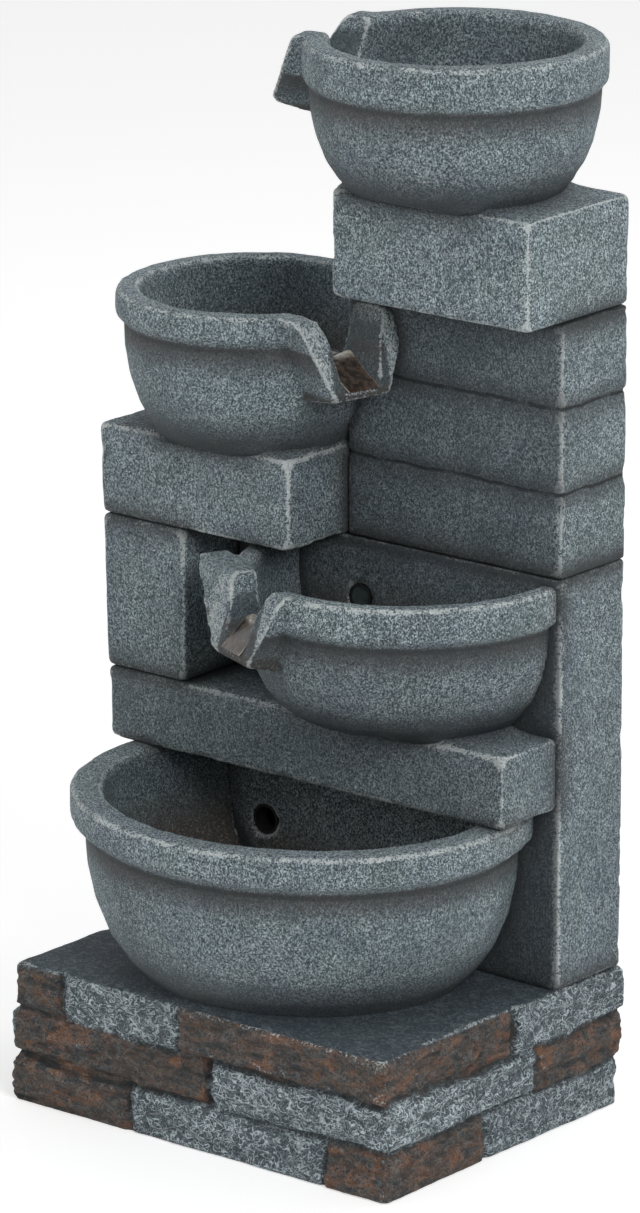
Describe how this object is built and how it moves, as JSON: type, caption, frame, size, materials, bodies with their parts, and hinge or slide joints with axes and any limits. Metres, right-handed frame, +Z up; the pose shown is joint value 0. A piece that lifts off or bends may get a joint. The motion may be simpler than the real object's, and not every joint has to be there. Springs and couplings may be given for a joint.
{
  "type": "cascading fountain",
  "caption": "Free-standing cascading garden fountain: spouted bowls step down a hollow block tower into a wide basin on a stacked-stone plinth, with a pump well behind a rear door.",
  "frame": {"origin": "middle of the footprint of the whole object, on the floor it stands on", "axes": "+Z up; -Y towards the front, where the basin stands out from the tower; +X to the viewer's right from the front"},
  "size_m": [0.4044, 0.3756, 0.8468],
  "materials": {
    "slate_resin": "cast resin, slate blue-grey, dry-brushed and rough",
    "stone_resin": "cast resin, slate and rust-brown stones, rough",
    "dark_plastic": "moulded, satin",
    "black_plastic": "moulded, satin",
    "steel": "stainless, satin",
    "rubber": "matte",
    "lens": "frosted clear",
    "orange_plastic": "moulded, satin",
    "magnet": "bonded ferrite, satin",
    "ceramic": "ground, smooth",
    "hose": "flexible, satin",
    "clear_plastic": "clear sheet, water-stained"
  },
  "bodies": {
    "casting": {"basin": "slate_resin", "bowl_lower": "slate_resin", "bowl_top": "slate_resin", "bowl_upper": "slate_resin", "clamp_high": "steel", "clamp_low": "steel", "cord_grommet": "rubber", "lamp_lower_case": "black_plastic", "lamp_lower_lens": "lens", "lamp_upper_case": "black_plastic", "lamp_upper_lens": "lens", "ledge_block": "slate_resin", "left_block": "slate_resin", "left_column": "slate_resin", "plinth": "stone_resin", "pump_foot_1": "rubber", "pump_foot_2": "rubber", "pump_foot_3": "rubber", "pump_foot_4": "rubber", "pump_gland": "rubber", "pump_motor": "black_plastic", "pump_shaft": "ceramic", "pump_volute": "black_plastic", "pump_well": "dark_plastic", "return_sleeve": "rubber", "riser_hose": "hose", "spout_strip_lower": "clear_plastic", "spout_strip_top": "clear_plastic", "spout_strip_upper": "clear_plastic", "top_block": "slate_resin", "top_fitting": "black_plastic", "top_nut": "black_plastic", "top_washer": "rubber", "tower_lower": "slate_resin", "tower_upper": "slate_resin"},
    "rotor": {"pump_rotor": "magnet"},
    "strainer": {"pump_cover": "black_plastic"},
    "dial": {"pump_dial": "orange_plastic"},
    "rear_door": {"access_door": "dark_plastic", "door_gasket": "rubber", "door_screw_1": "steel", "door_screw_2": "steel", "door_screw_3": "steel", "door_screw_4": "steel"}
  },
  "joints": [
    {"name": "rotor_spin", "type": "hinge", "parent": "casting", "child": "rotor", "pos_m": [-0.0726, 0.10183, 0.1469], "axis": [1, 0, 0], "continuous": true},
    {"name": "strainer_slide", "type": "slide", "parent": "casting", "child": "strainer", "axis": [-1, 0, 0], "range_m": [0, 0.015]},
    {"name": "dial_turn", "type": "hinge", "parent": "strainer", "child": "dial", "pos_m": [-0.1092, 0.10183, 0.1469], "axis": [1, 0, 0], "range_deg": [0, 90]},
    {"name": "door_slide", "type": "slide", "parent": "casting", "child": "rear_door", "axis": [0, 1, 0], "range_m": [0, 0.06]}
  ]
}
